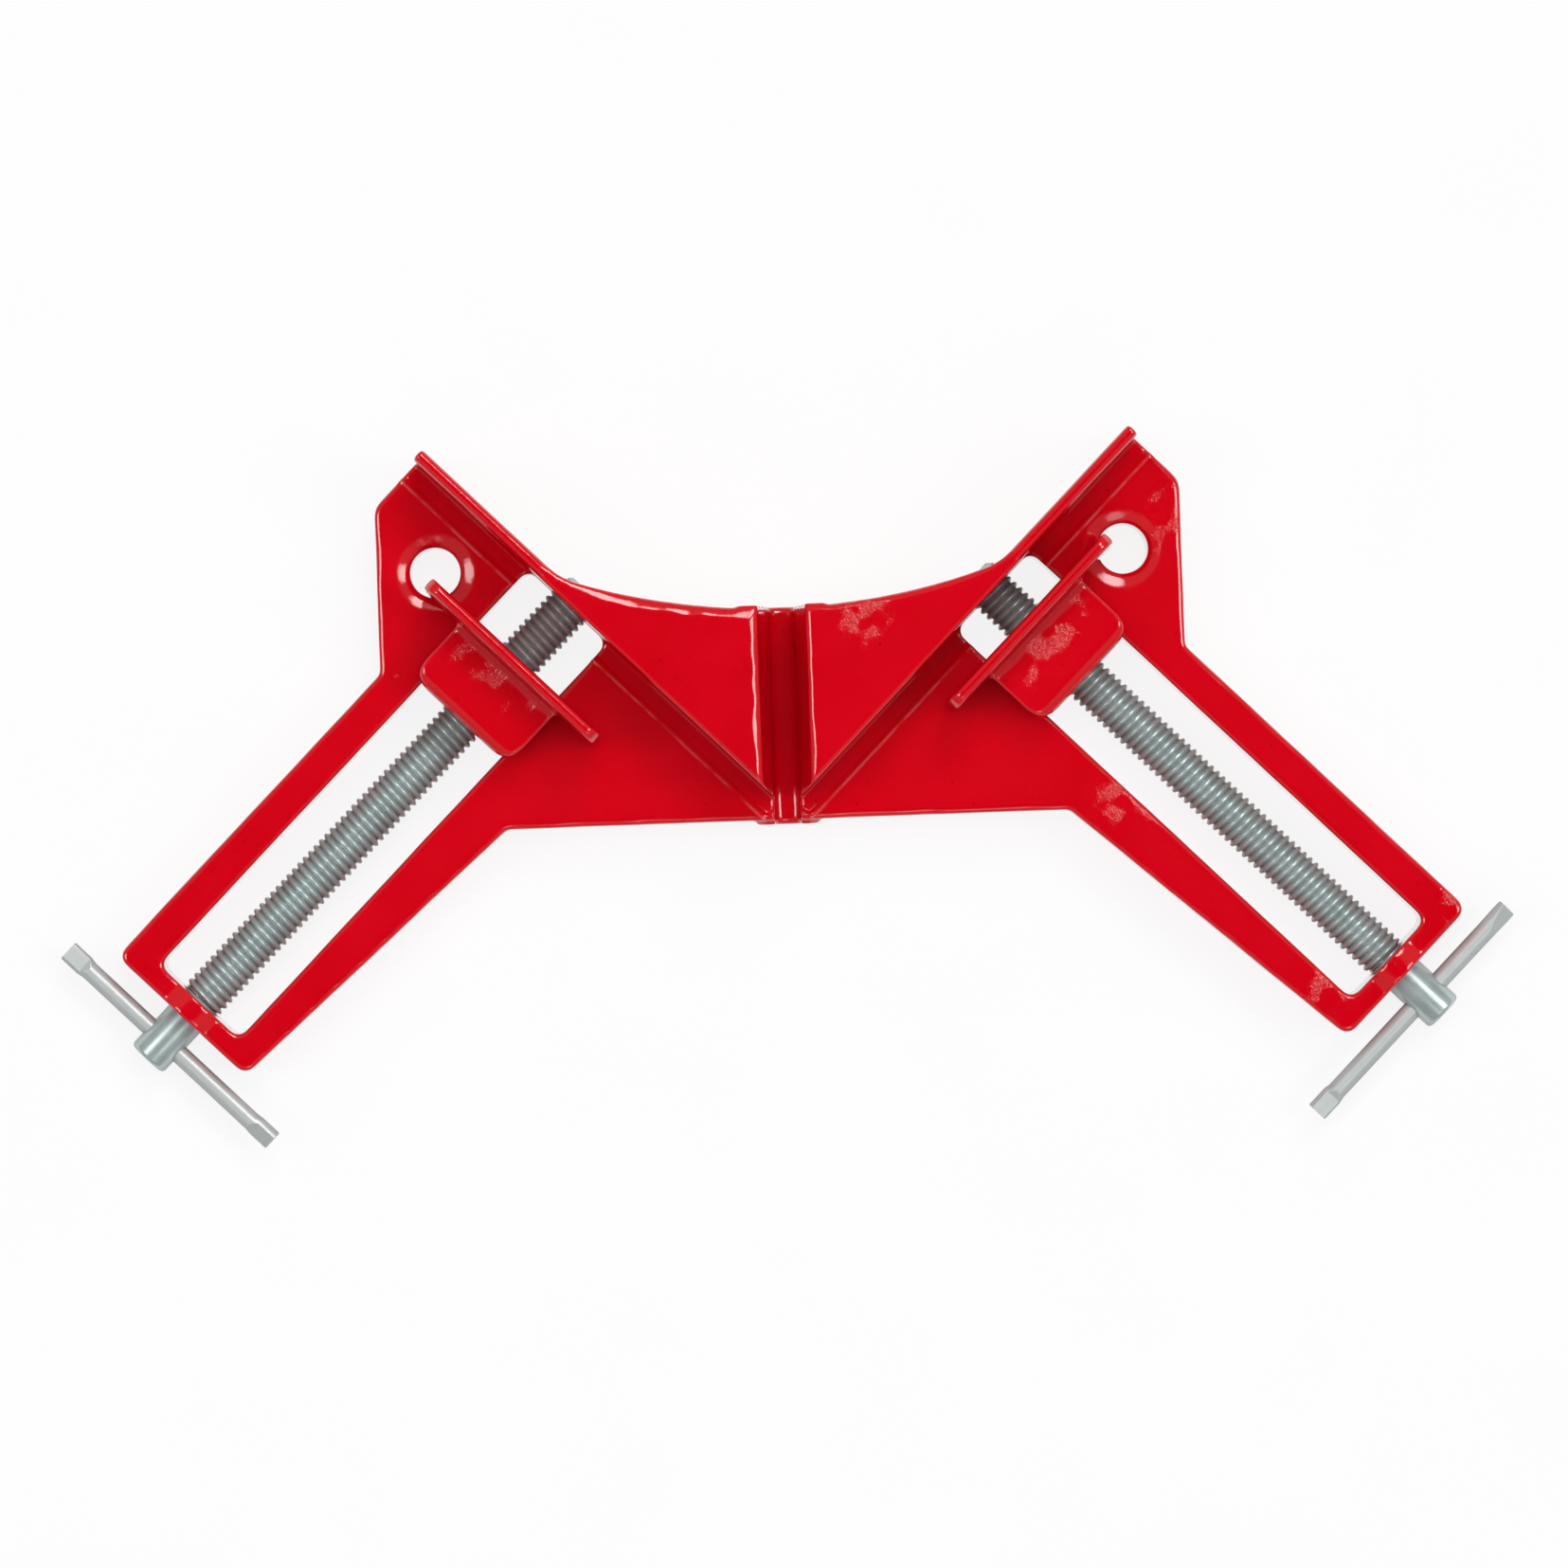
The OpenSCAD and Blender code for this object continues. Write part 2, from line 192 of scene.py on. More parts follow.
# Each side: where its arm points, how its tommy bar lies, the stretch of the bar's drawing marks,
# the tilt of the bar's flats in degrees, which flats are wedges, and how mottled its jaw is
SIDES = (
    ("left", (-1, 0, 0), (0, 1, 0), (1500, 15, 1500), (-34, 5), (False, False), 0.75),
    ("right", (0, -1, 0), (1, 0, 0), (15, 1500, 1500), (10, 40), (False, True), 1.0),
)


# Materials


class Nodes:
    """Short calls that build one material's node tree."""

    def __init__(self, name):
        self.material = bpy.data.materials.new(name)
        self.material.use_nodes = True
        self.tree = self.material.node_tree
        self.shader = self.tree.nodes["Principled BSDF"]

    def add(self, kind, inputs=(), **settings):
        node = self.tree.nodes.new(kind)
        for key, value in settings.items():
            setattr(node, key, value)
        for key, value in dict(inputs).items():
            self.put(value, node.inputs[key])
        return node

    def put(self, value, socket):
        if isinstance(value, bpy.types.NodeSocket):
            self.tree.links.new(value, socket)
        else:
            socket.default_value = value

    def set(self, **inputs):
        for key, value in inputs.items():
            self.put(value, self.shader.inputs[key.replace("_", " ")])

    def place(self, scale=(1, 1, 1)):
        where = self.add("ShaderNodeTexCoord").outputs["Object"]
        return self.add("ShaderNodeMapping", {"Vector": where, "Scale": scale}).outputs["Vector"]

    def noise(self, scale, detail=2.0, roughness=0.5, stretch=(1, 1, 1)):
        values = {"Scale": scale, "Detail": detail, "Roughness": roughness}
        values["Vector"] = self.place(stretch)
        return self.add("ShaderNodeTexNoise", values).outputs["Fac"]

    def cells(self, scale):
        values = {"Vector": self.place(), "Scale": scale}
        return self.add("ShaderNodeTexVoronoi", values).outputs["Distance"]

    def pointiness(self):
        return self.add("ShaderNodeNewGeometry").outputs["Pointiness"]

    def painted_side_shade(self, full, none):
        """1 where a surface faces aside or down, for painted shade there, 0 where it faces up."""
        normal = self.add("ShaderNodeNewGeometry").outputs["Normal"]
        up = self.add("ShaderNodeSeparateXYZ", {0: normal}).outputs["Z"]
        return self.level(up, full, none, 1.0, 0.0)

    def pad_bead(self):
        """1 on the bead of enamel along the relief groove's edge, 0 elsewhere."""
        split = self.add("ShaderNodeSeparateXYZ", {0: self.place()}).outputs
        nearer = self.math("MINIMUM", split["X"], split["Y"])
        beside = self.math("ABSOLUTE", self.math("ADD", nearer, (RELIEF_W + BEAD_OUT) * MM))
        off_floor = self.math("ABSOLUTE", self.math("ADD", split["Z"], -FLOOR_H * MM))
        on_edge = self.level(beside, 0.0, 0.25 * MM, 1.0, 0.0)
        on_floor = self.level(off_floor, 0.2 * MM, 0.3 * MM, 1.0, 0.0)
        ragged = self.level(self.noise(350, 2.0), 0.35, 0.55)
        return self.times(self.times(on_edge, on_floor), ragged)

    def level(self, value, low, high, to_low=0.0, to_high=1.0):
        values = {"Value": value, "From Min": low, "From Max": high}
        values.update({"To Min": to_low, "To Max": to_high})
        return self.add("ShaderNodeMapRange", values).outputs["Result"]

    def math(self, operation, *values):
        return self.add("ShaderNodeMath", enumerate(values), operation=operation).outputs[0]

    def times(self, a, b):
        return self.math("MULTIPLY", a, b)

    def mix(self, fac, a, b):
        node = self.add("ShaderNodeMix", data_type="RGBA")
        colours = [s for s in node.inputs if s.type == "RGBA"]
        for value, socket in ((fac, node.inputs[0]), (a, colours[0]), (b, colours[1])):
            self.put(value, socket)
        return next(s for s in node.outputs if s.type == "RGBA")

    def bump(self, height, strength, distance, under=None):
        values = {"Height": height, "Strength": strength, "Distance": distance}
        if under is not None:
            values["Normal"] = under
        return self.add("ShaderNodeBump", values).outputs["Normal"]


def red_enamel():
    """Glossy enamel on a casting: cloudy depth, dust nibs, an uneven skin, chipped edges and a
    painted highlight along the relief groove's bead.
    """
    n = Nodes("red_enamel")
    colour = n.mix(n.level(n.noise(110, 3.0), 0.3, 0.7), *RED)
    speck = n.level(n.noise(1300, 2.0), 0.7, 0.78)
    colour = n.mix(speck, colour, RED_SPECK)
    chip = n.times(n.level(n.pointiness(), 0.62, 0.7), n.level(n.noise(420, 3.0), 0.66, 0.7))
    colour = n.mix(chip, colour, CHIPPED)
    bead = n.pad_bead()
    # Painted highlight: a pale line in the colour along the bead at the groove's edge.
    colour = n.mix(n.times(bead, 0.5), colour, BEAD_HIGHLIGHT)
    nibs = n.level(n.cells(95), 0.0, 0.03, 1.0, 0.0)
    skin = n.bump(n.noise(260, 2.0), 0.08, 0.0005)
    skin = n.bump(n.noise(1700, 2.0), 0.05, 0.0002, skin)
    skin = n.bump(nibs, 0.5, 0.0002, skin)
    mottle = n.add("ShaderNodeAttribute", attribute_name=MOTTLE).outputs["Fac"]
    blotches = n.times(mottle, n.level(n.noise(330, 1.0), 0.4, 0.6))
    skin = n.bump(n.noise(1900, 3.0, 0.6), blotches, 0.0004, skin)
    skin = n.bump(bead, 0.8, 0.0001, skin)
    dull = n.level(n.noise(300, 2.0), 0.3, 0.7, 0.11, 0.18)
    n.set(Base_Color=colour, Roughness=dull, Normal=skin, Specular_IOR_Level=0.02)
    n.set(Coat_Weight=1.0, Coat_IOR=1.7, Coat_Roughness=0.07, Coat_Normal=skin)
    return n.material


def zinc_plate():
    """Bright zinc on a rolled thread, with painted shade in its roots and on its sides."""
    n = Nodes("zinc_plate")
    colour = n.mix(n.level(n.noise(260, 4.0, 0.6), 0.3, 0.7), *ZINC)
    # Painted shade: the screw's sides and underside are darkened and made less metallic by the way
    # they face.
    aside = n.painted_side_shade(-0.05, 0.65)
    colour = n.mix(n.times(aside, 0.75), colour, ZINC_SIDE_SHADE)
    # Painted shade in the thread roots, where the pointiness is low.
    root = n.level(n.pointiness(), 0.4, 0.5, 1.0, 0.0)
    colour = n.mix(n.times(root, 0.5), colour, THREAD_ROOT_SHADE)
    grain = n.bump(n.noise(1500, 3.0), 0.03, 0.0001)
    n.set(Base_Color=colour, Metallic=n.level(aside, 0.0, 1.0, 0.55, 0.15), Normal=grain)
    n.set(Roughness=n.level(n.noise(900, 3.0), 0.3, 0.7, 0.27, 0.35))
    return n.material


def bright_steel(name, stretch):
    """Drawn steel bar with fine marks along its length, and painted shade on its sides."""
    n = Nodes(name)
    colour = n.mix(n.level(n.noise(300, 3.0, 0.6), 0.3, 0.7), *STEEL)
    drawn = n.noise(1.0, 2.0, 0.5, stretch)
    colour = n.mix(n.level(drawn, 0.55, 0.8, 0.0, 0.18), colour, STEEL_MARK)
    # Painted shade: the bar's sides and underside are darkened and made less metallic by the way
    # they face.
    aside = n.painted_side_shade(0.2, 0.95)
    colour = n.mix(n.times(aside, 0.85), colour, STEEL_SIDE_SHADE)
    marks = n.bump(drawn, 0.02, 0.0001)
    n.set(Base_Color=colour, Metallic=n.level(aside, 0.0, 1.0, 0.45, 0.1), Normal=marks)
    n.set(Roughness=n.level(drawn, 0.3, 0.7, 0.34, 0.42))
    return n.material


def white_floor():
    """A pale floor that shows white where it is lit, and keeps part of the object's shadow."""
    n = Nodes("white_floor")
    path = n.add("ShaderNodeLightPath").outputs
    seen = n.math("MAXIMUM", path["Is Camera Ray"], path["Is Glossy Ray"])
    seen = n.math("MAXIMUM", seen, path["Is Transmission Ray"])
    share = n.times(seen, FLOOR_GLOW)
    grain = n.level(n.noise(40, 2.0), 0.3, 0.7, 0.88, 0.92)
    lit = n.add("ShaderNodeBsdfDiffuse", {"Color": grain})
    glow = n.add("ShaderNodeEmission", {"Color": WHITE, "Strength": 1.0})
    both = n.add("ShaderNodeMixShader", {0: share, 1: lit.outputs[0], 2: glow.outputs[0]})
    n.put(both.outputs[0], n.tree.nodes["Material Output"].inputs["Surface"])
    n.tree.nodes.remove(n.shader)
    return n.material


# Pieces


def new_object(name, mesh, material):
    obj = bpy.data.objects.new(name, mesh)
    bpy.context.scene.collection.objects.link(obj)
    dress(obj, material)
    return obj


def dress(obj, material):
    obj.data.materials.clear()
    obj.data.materials.append(material)
    obj.data.polygons.foreach_set("use_smooth", [True] * len(obj.data.polygons))


def apply_modifiers(obj):
    """Replaces obj's mesh by the one that its modifiers make."""
    depsgraph = bpy.context.evaluated_depsgraph_get()
    mesh = bpy.data.meshes.new_from_object(obj.evaluated_get(depsgraph))
    obj.modifiers.clear()
    obj.data = mesh


def split_edges(obj, degrees):
    """Parts the faces along edges sharper than an angle, so that these edges shade as sharp."""
    edge = obj.modifiers.new("sharp", "EDGE_SPLIT")
    edge.split_angle = math.radians(degrees)
    apply_modifiers(obj)


def stand_in(obj, node):
    """obj moves with a CAD node's body and stands for the node, whose own part is hidden."""
    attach(obj, node)
    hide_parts(node)


def finished_mesh(name, built):
    bmesh.ops.recalc_face_normals(built, faces=built.faces)
    mesh = bpy.data.meshes.new(name)
    built.to_mesh(mesh)
    built.free()
    return mesh


def join_rings(mesh, rings):
    """Faces between rings that follow one another and have the same number of vertices."""
    for low, high in zip(rings, rings[1:]):
        for i in range(len(low)):
            j = (i + 1) % len(low)
            mesh.faces.new((low[i], low[j], high[j], high[i]))


# Castings


def points_of(mesh):
    co = np.empty(len(mesh.vertices) * 3)
    mesh.vertices.foreach_get("co", co)
    return co.reshape(-1, 3)


def normals_of(mesh):
    normal = np.empty(len(mesh.vertices) * 3)
    mesh.vertices.foreach_get("normal", normal)
    return normal.reshape(-1, 3)


def set_points(mesh, co):
    mesh.vertices.foreach_set("co", co.ravel())
    mesh.update()


def relax(mesh, strength, steps):
    """Moves each vertex towards the mean of its neighbours, by its own strength, to round edges."""
    edges = np.empty(len(mesh.edges) * 2, int)
    mesh.edges.foreach_get("vertices", edges)
    a, b = edges.reshape(-1, 2).T
    co = points_of(mesh)
    count = np.bincount(a, minlength=len(co)) + np.bincount(b, minlength=len(co))
    for _ in range(steps):
        for axis in range(3):
            v = co[:, axis]
            total = np.bincount(a, v[b], len(co)) + np.bincount(b, v[a], len(co))
            co[:, axis] = v + strength * (total / count - v)
    set_points(mesh, co)


def smooth_noise(co, size):
    return np.array([noise.noise(Vector(p) / size) for p in co])


def from_fence(co):
    """Distance from the nearer fence's face, in millimetres, on the side where the work lies."""
    x, y = co[:, 0] / MM, co[:, 1] / MM
    return np.where(x > y, -y, -x)


def frame_softness(co):
    """How much the frame's edges are rounded: most along the low outline, least at the groove."""
    z = co[:, 2] / MM
    away = from_fence(co)
    low = z < FLOOR_H + 0.5
    groove = (away > -0.3) & (away < RELIEF_W + 0.7) & (z > FLOOR_H - 1.2) & (z < FLOOR_H + 1)
    groove_edge = (np.abs(away - RELIEF_W) < 0.7) & (np.abs(z - FLOOR_H) < 0.3)
    soft = np.where(low, SOFT_LOW, SOFT_TALL)
    soft[(away > ARM_FROM) & low] = SOFT_ARM
    soft *= 0.85 + 0.5 * smooth_noise(co, 5 * MM)
    soft[groove] = SOFT_GROOVE
    soft[groove_edge] = SOFT_GROOVE_EDGE
    soft[z < BASE_H] = SOFT_BASE
    return np.clip(soft, 0, SOFT_MOST)


def jaw_softness(co):
    return np.where(co[:, 2] > BLOCK_TOP[1] * MM, SOFT_PLATE, SOFT_BLOCK)


def rim_drop(inside, width):
    """How far a top has fallen at a distance inside an edge that is worn over a width."""
    return RIM_SLOPE * np.clip(width - np.maximum(inside, 0), 0, RIM_MOST)


def frame_top(co):
    """The corner block's worn rims, along its hollow rear and the saw channel, and the pimples."""
    x, y, z = (co / MM).T
    ragged = smooth_noise(co, 3 * MM)
    left = y > x
    rear = np.hypot(x - REAR_CENTRE, y - REAR_CENTRE) - REAR_R
    drop = rim_drop(rear, np.where(left, *REAR_RIM_W) + RIM_RAGGED * ragged)
    drop = np.where(rear > -0.5, drop, 0)
    channel = np.abs(x - y) / math.sqrt(2) - CHANNEL_HALF
    channel_drop = rim_drop(channel, np.where(left, *CHANNEL_RIM_W) + RIM_RAGGED * ragged)
    by_height = np.clip((z - RIM_FROM_H) / RIM_OVER_H, 0, 1)
    by_reach = np.clip((RIM_TO_R - np.hypot(x, y)) / RIM_OVER_R, 0, 1)
    rise = -np.maximum(drop, channel_drop) * by_height * by_reach
    on_floor = np.abs(z - FLOOR_H) < 0.6
    for px, py, r, hollow in PIMPLES:
        out = np.hypot(x - px, y - py) / r
        pimple = (0.13 + 0.2 * ragged) * np.exp(-((out - hollow) ** 2) * 4)
        rise += np.where(on_floor, pimple, 0)
    return rise * MM


def frame_marks(co):
    """How mottled the enamel is at each point of the frame's tops."""
    x, y, z = (co / MM).T
    near = [np.exp(-((x - px) ** 2 + (y - py) ** 2) / reach**2) for px, py, reach in MOTTLED]
    on_top = (np.abs(z - FLOOR_H) < 0.6) | (z > FENCE_H - 1)
    return np.where(on_top, np.max(near, axis=0), 0)


def behind_plate(node, axis, co):
    """1 on the strip of a jaw block's top behind its plate, away from the block's ends, else 0."""
    low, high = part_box(node)
    back = (high[axis] - co[:, axis]) / MM
    aside = np.abs(co[:, 1 - axis] - (low[1 - axis] + high[1 - axis]) / 2) / MM
    z = co[:, 2] / MM
    strip = np.exp(-(((back - STRIP_AT) / STRIP_REACH) ** 2))
    strip = strip * np.clip((STRIP_HALF - aside) / STRIP_FADE, 0, 1)
    return strip * ((z > BLOCK_TOP[0]) & (z < BLOCK_TOP[1]) & (back > PLATE_T))


def block_top(node, axis):
    """Low lumps on a jaw block's top behind its plate; the jaw slides along the axis."""

    def shape(co):
        lumps = 0.12 * smooth_noise(co, 2.0 * MM) - 0.06
        return behind_plate(node, axis, co) * lumps * MM

    return shape


def jaw_marks(node, axis, share):
    """How mottled the enamel is at each point of a jaw."""

    def marks(co):
        return share * behind_plate(node, axis, co)

    return marks


def uneven_skin(mesh, seed):
    """Low lumps of a casting, always inwards, so that the piece stays in its CAD box."""
    offset = Vector((seed, 3.7, 5.1))
    (broad, broad_size), (fine, fine_size) = BROAD_LUMP, FINE_LUMP
    depth = [
        broad * noise.noise(v.co / (broad_size * MM) + offset)
        + fine * noise.noise(v.co / (fine_size * MM) - offset)
        for v in mesh.vertices
    ]
    depth = np.minimum(np.array(depth) - broad, 0)
    set_points(mesh, points_of(mesh) + normals_of(mesh) * depth[:, None] * MM)


def casting(node, voxel, faces, softness, shape, marks, material):
    """A copy of a CAD casting with rounded edges, an uneven skin and mottled marks."""
    obj = new_object(node + "_casting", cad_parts[node].data.copy(), material)
    weld = obj.modifiers.new("weld", "WELD")
    weld.merge_threshold = WELD_GAP * MM
    remesh = obj.modifiers.new("remesh", "REMESH")
    remesh.mode = "VOXEL"
    remesh.voxel_size = voxel * MM
    apply_modifiers(obj)
    relax(obj.data, softness(points_of(obj.data)), SMOOTH_STEPS)
    co = points_of(obj.data)
    co[:, 2] += shape(co)
    set_points(obj.data, co)
    uneven_skin(obj.data, len(node))
    decimate = obj.modifiers.new("decimate", "DECIMATE")
    decimate.ratio = min(1.0, faces / (2 * len(obj.data.polygons)))
    apply_modifiers(obj)
    mottle = obj.data.attributes.new(MOTTLE, "FLOAT", "POINT")
    mottle.data.foreach_set("value", marks(points_of(obj.data)))
    dress(obj, material)
    stand_in(obj, node)


# Screws


def axis_frame(node, outwards):
    """A turn and place that put +Z along a screw, outwards from 0 at its tip, and its length."""
    low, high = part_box(node)
    centre = (low + high) / 2
    half = abs((high - low).dot(outwards)) / 2
    turn = outwards.to_track_quat("Z", "Y").to_matrix().to_4x4()
    return Matrix.Translation(centre - outwards * half) @ turn, 2 * half / MM


def thread_r(share, crest):
    """Radius of the thread at a share of its pitch: a broad round crest and a narrow root."""
    ridge = abs(share % 1.0 - 0.5) * 2
    return crest - THREAD_DEPTH * min(1.0, max(0.0, (ridge - 0.24) / 0.7)) ** 1.2


def on_helix(r, turn, z):
    """A point on a left-hand helix's cylinder: seen from the outer end, turns run clockwise."""
    angle = -2 * math.pi * turn
    return Vector((r * math.cos(angle), r * math.sin(angle), z)) * MM


def screw_mesh(length, crest):
    """Thread from the tip to the shoulder, then the plain end."""
    mesh = bmesh.new()
    shoulder = length - SHANK_LEN
    first, last = -PITCH_STEPS, math.ceil(shoulder / PITCH * PITCH_STEPS)
    around = range(TURN_STEPS)
    grid = {}
    for k in range(first, last + 1):
        for i in around:
            turn = i / TURN_STEPS
            z = min(max((k / PITCH_STEPS + turn) * PITCH, 0.0), shoulder)
            runout = RUNOUT_R + RUNOUT_SLOPE * (shoulder - z)
            r = min(thread_r(k / PITCH_STEPS, crest), TIP_R + TIP_SLOPE * z, runout)
            grid[k, i] = mesh.verts.new(on_helix(r, turn, z))
    for k in range(first, last):
        for i in around:
            side = [(k, i + 1), (k + 1, i + 1)]
            if i == TURN_STEPS - 1:
                side = [(k + PITCH_STEPS, 0), (k + 1 + PITCH_STEPS, 0)]
            if side[1] in grid:
                mesh.faces.new((grid[k, i], grid[side[0]], grid[side[1]], grid[k + 1, i]))
    rings = [[grid[last, i] for i in around]]
    bevel = HEAD_CHAMFER
    for r, z in (
        (SHANK_R, shoulder),
        (SHANK_R, length - bevel),
        (SHANK_R - 0.3 * bevel, length - 0.3 * bevel),
        (SHANK_R - bevel, length),
        (0.4 * SHANK_R, length),
    ):
        rings.append([mesh.verts.new(on_helix(r, i / TURN_STEPS, z)) for i in around])
    join_rings(mesh, rings)
    mesh.faces.new(rings[-1])
    mesh.faces.new([grid[first, i] for i in around])
    bmesh.ops.remove_doubles(mesh, verts=mesh.verts, dist=JOIN_GAP * MM)
    bmesh.ops.dissolve_degenerate(mesh, edges=mesh.edges, dist=JOIN_GAP * MM)
    return finished_mesh("screw", mesh)


def drill_mesh(length):
    """The cylinder that makes the hole for the tommy bar, across the screw's axis."""
    mesh = bmesh.new()
    at = Matrix.Translation((0, 0, (length - HOLE_FROM_END) * MM))
    bmesh.ops.create_cone(
        mesh, cap_ends=True, segments=HOLE_STEPS, radius1=HOLE_R * MM, radius2=HOLE_R * MM,
        depth=4 * SHANK_R * MM, matrix=at @ Matrix.Rotation(math.pi / 2, 4, "Y"),
    )
    return finished_mesh("drill", mesh)


def screw(side, outwards, material):
    node = side + "_screw"
    place, length = axis_frame(node, outwards)
    low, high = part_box(node)
    crest = (high.z - low.z) / 2 / MM
    obj = new_object(node + "_threaded", screw_mesh(length, crest), material)
    tool = new_object("drill", drill_mesh(length), material)
    cut = obj.modifiers.new("cut", "BOOLEAN")
    cut.object = tool
    cut.solver = "EXACT"
    obj.data.transform(place)
    tool.data.transform(place)
    apply_modifiers(obj)
    bpy.data.objects.remove(tool)
    dress(obj, material)
    split_edges(obj, SCREW_SHARP_DEG)
    dress(obj, material)
    stand_in(obj, node)


# Tommy bars


def pressed(s, half_len, tilt, wedge):
    """Half thickness, spread and turn of a tommy bar's section at s from its middle."""
    into = abs(s) - (half_len - FLAT_LEN)
    end = int(s > 0)
    if wedge[end]:
        share = min(1.0, max(0.0, (into + WEDGE_LEAD) / (FLAT_LEN + WEDGE_LEAD)))
        thick = BAR_R - (BAR_R - WEDGE_THIN * FLAT_HALF_T) * share
    else:
        share = min(1.0, max(0.0, into / PRESS_LEN))
        thick = BAR_R + (FLAT_HALF_T - BAR_R) * share
    return thick, 1 + (FLAT_SPREAD - 1) * share, tilt[end]


def bar_mesh(half_len, tilt, wedge):
    """A drawn bar with both ends pressed flat, each at its own tilt, the wedges at a slope."""
    mesh = bmesh.new()
    shoulder = half_len - FLAT_LEN
    outer = [0.25 * shoulder * k for k in range(4)]
    outer += list(np.linspace(shoulder - FLAT_LEAD, half_len - BAR_END, FLAT_STATIONS))
    outer += [half_len]
    stations = [-s for s in reversed(outer[1:])] + outer
    rings = []
    for s in stations:
        thick, spread, turn = pressed(s, half_len, tilt, wedge)
        r = BAR_R - (BAR_END if abs(s) == half_len else 0)
        ring = []
        for i in range(BAR_STEPS):
            angle = 2 * math.pi * (i + 0.5) / BAR_STEPS - turn
            u = r * math.cos(angle) * spread
            v = min(thick, max(-thick, r * math.sin(angle)))
            across = u * math.cos(turn) - v * math.sin(turn)
            up = u * math.sin(turn) + v * math.cos(turn)
            ring.append(mesh.verts.new(Vector((s, across, up)) * MM))
        rings.append(ring)
    join_rings(mesh, rings)
    mesh.faces.new(rings[0])
    mesh.faces.new(rings[-1])
    return finished_mesh("bar", mesh)


def tommy_bar(side, along, tilt, wedge, material):
    node = side + "_tommy_bar"
    low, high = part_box(node)
    half_len = abs((high - low).dot(along)) / 2 / MM
    mesh = bar_mesh(half_len, [math.radians(t) for t in tilt], wedge)
    obj = new_object(node + "_drawn", mesh, material)
    turn = Matrix((along, UP.cross(along), UP)).transposed().to_4x4()
    obj.data.transform(Matrix.Translation((low + high) / 2) @ turn)
    split_edges(obj, BAR_SHARP_DEG)
    dress(obj, material)
    stand_in(obj, node)


# Stage


def camera():
    turn = Vector(math.radians(t) for t in CAM_TURN)
    base = Matrix((IMAGE_RIGHT, IMAGE_UP, UP))
    axes = Matrix.Rotation(turn.length, 3, turn.normalized()) @ base
    data = bpy.data.cameras.new("photo_camera")
    data.sensor_width = SENSOR
    data.lens = SENSOR * CAM_DIST / (IMAGE_PX / CAM_PX_PER_MM)
    data.clip_start, data.clip_end = 0.01, 20
    obj = bpy.data.objects.new("photo_camera", data)
    place = axes.transposed() @ Vector((*CAM_CENTRE, CAM_DIST)) * MM
    obj.matrix_world = Matrix.Translation(place) @ axes.transposed().to_4x4()
    bpy.context.scene.collection.objects.link(obj)
    bpy.context.scene.camera = obj


def towards(image_angle, height):
    """The direction of an angle in the picture and a height above the floor, both in degrees."""
    angle, rise = math.radians(image_angle), math.radians(height)
    level = IMAGE_RIGHT * math.cos(angle) + IMAGE_UP * math.sin(angle)
    return level * math.cos(rise) + UP * math.sin(rise)


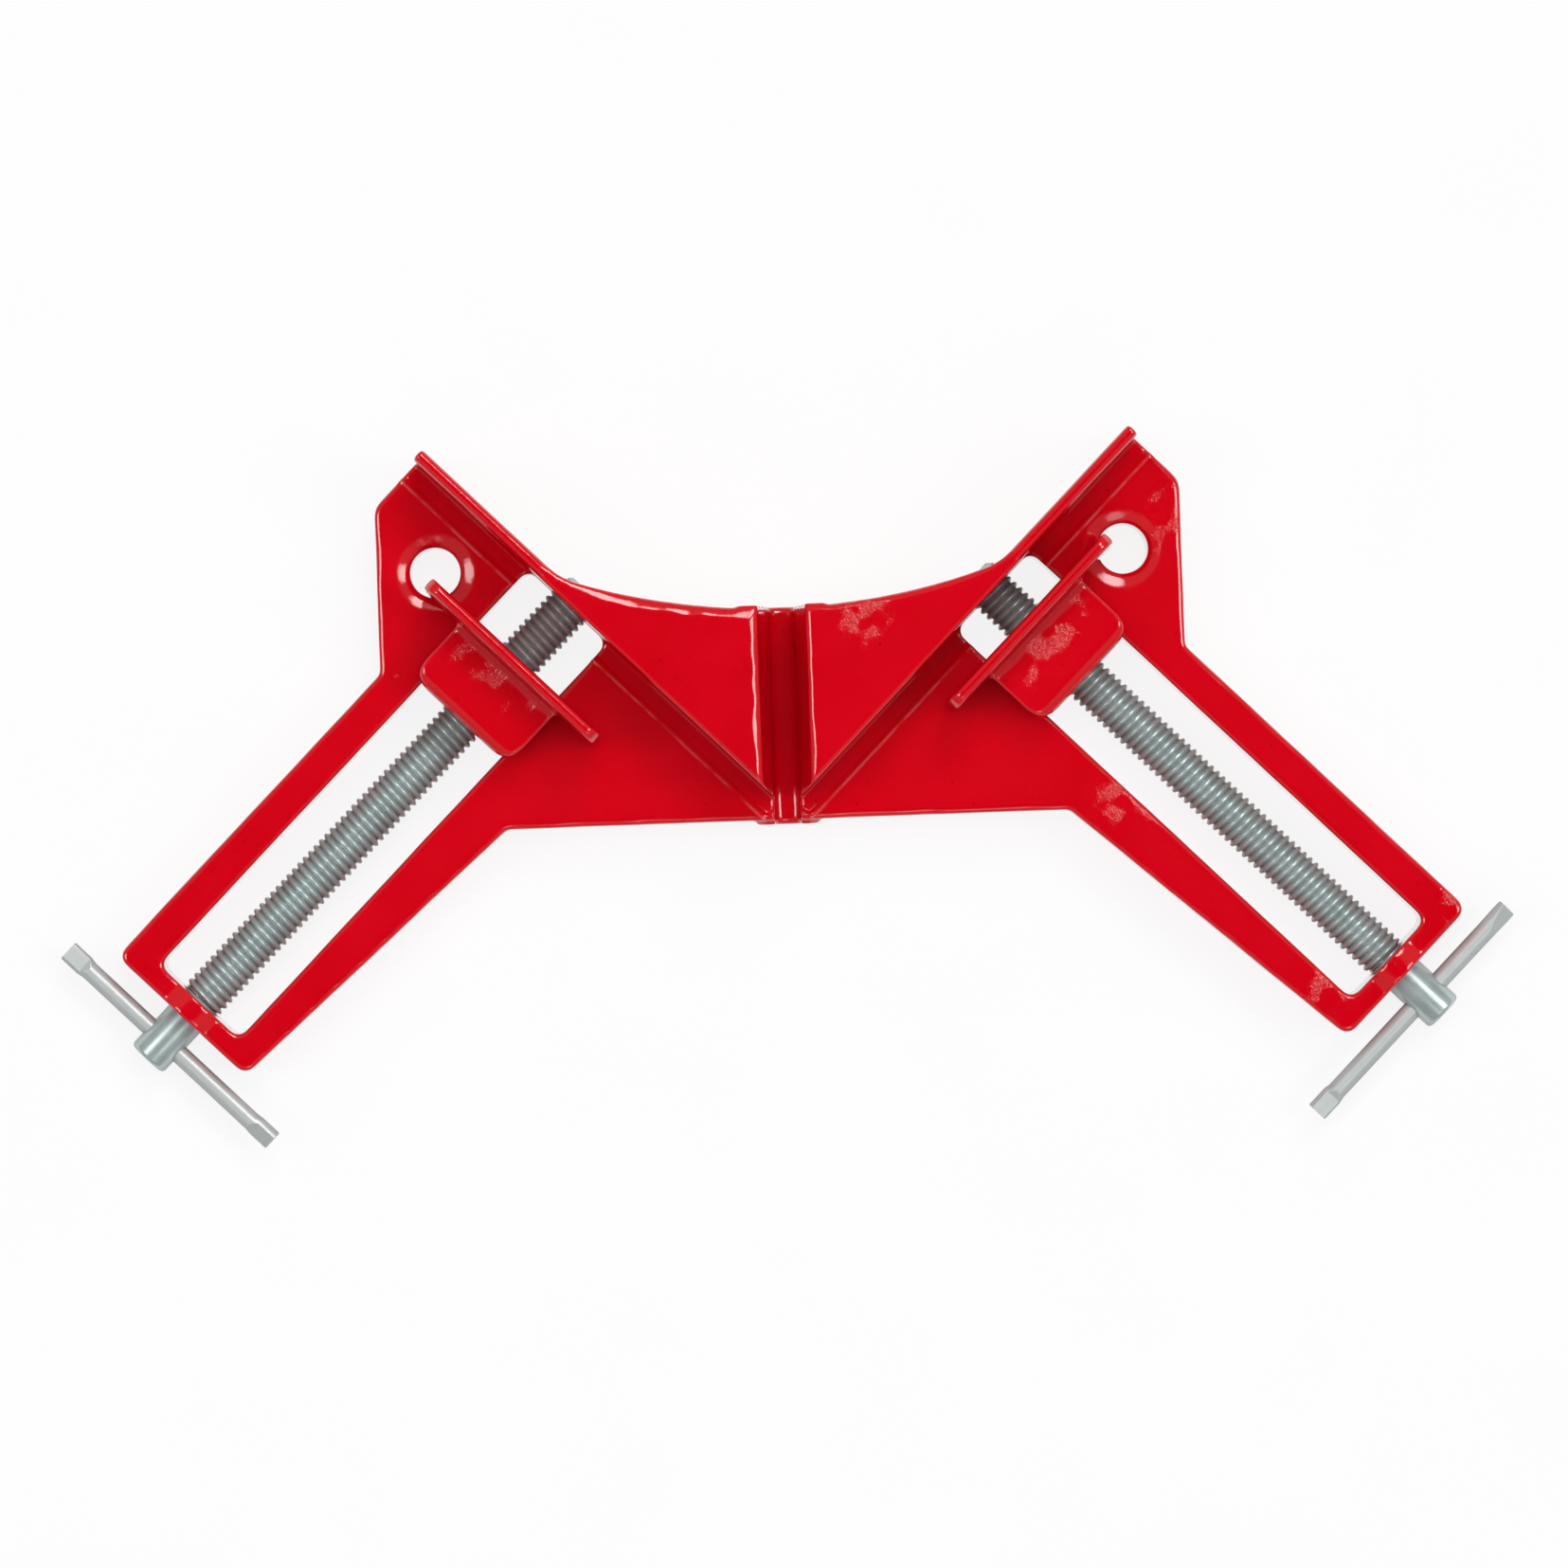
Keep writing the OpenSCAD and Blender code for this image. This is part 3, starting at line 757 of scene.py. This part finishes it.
def sky():
    """A soft surround, dim overhead, with a few patches of light."""
    world = bpy.data.worlds.new("studio")
    world.use_nodes = True
    tree = world.node_tree
    where = tree.nodes.new("ShaderNodeTexCoord").outputs["Generated"]
    split = tree.nodes.new("ShaderNodeSeparateXYZ")
    ramp = tree.nodes.new("ShaderNodeValToRGB")
    tree.links.new(where, split.inputs[0])
    tree.links.new(split.outputs["Z"], ramp.inputs["Fac"])
    stops = ramp.color_ramp.elements
    while len(stops) < len(SKY):
        stops.new(1.0)
    for stop, (height, value) in zip(stops, SKY):
        stop.position, stop.color = height, (value, value, value, 1)
    total = ramp.outputs["Color"]
    for angle, height, reach, value in PATCHES:
        near = tree.nodes.new("ShaderNodeVectorMath")
        near.operation = "DOT_PRODUCT"
        near.inputs[1].default_value = towards(angle, height)
        tree.links.new(where, near.inputs[0])
        fall = tree.nodes.new("ShaderNodeMapRange")
        tree.links.new(near.outputs["Value"], fall.inputs["Value"])
        edge = [math.cos(math.radians(share * reach)) for share in PATCH_EDGE]
        for key, number in zip(("From Min", "From Max", "To Min", "To Max"), (*edge, 0, value)):
            fall.inputs[key].default_value = number
        more = tree.nodes.new("ShaderNodeMath")
        tree.links.new(total, more.inputs[0])
        tree.links.new(fall.outputs["Result"], more.inputs[1])
        total = more.outputs[0]
    tree.links.new(total, tree.nodes["Background"].inputs["Color"])
    bpy.context.scene.world = world


def overhead_lamp():
    """The broad lamp above the clamp, left out of reflections so that flat tops stay plain red."""
    data = bpy.data.lights.new("overhead_lamp", "AREA")
    data.shape = "DISK"
    data.size = LAMP_SIZE
    data.energy = LAMP_ENERGY
    obj = bpy.data.objects.new("overhead_lamp", data)
    way = towards(*LAMP_AT)
    turn = way.to_track_quat("Z", "Y").to_matrix().to_4x4()
    obj.matrix_world = Matrix.Translation(way * LAMP_DIST) @ turn
    obj.visible_glossy = False
    bpy.context.scene.collection.objects.link(obj)


def floor():
    mesh = bmesh.new()
    bmesh.ops.create_grid(mesh, x_segments=2, y_segments=2, size=FLOOR_HALF)
    obj = new_object("floor", finished_mesh("floor", mesh), white_floor())


enamel = red_enamel()
zinc = zinc_plate()
casting("frame", FRAME_VOXEL, FRAME_FACES, frame_softness, frame_top, frame_marks, enamel)
for side, outwards, along, stretch, tilt, wedge, share in SIDES:
    jaw = side + "_jaw"
    axis = 0 if outwards[0] else 1
    top, marks = block_top(jaw, axis), jaw_marks(jaw, axis, share)
    casting(jaw, JAW_VOXEL, JAW_FACES, jaw_softness, top, marks, enamel)
    screw(side, Vector(outwards), zinc)
    tommy_bar(side, Vector(along), tilt, wedge, bright_steel(side + "_bright_steel", stretch))

sky()
overhead_lamp()
floor()
camera()
bpy.context.scene.view_settings.view_transform = "Standard"
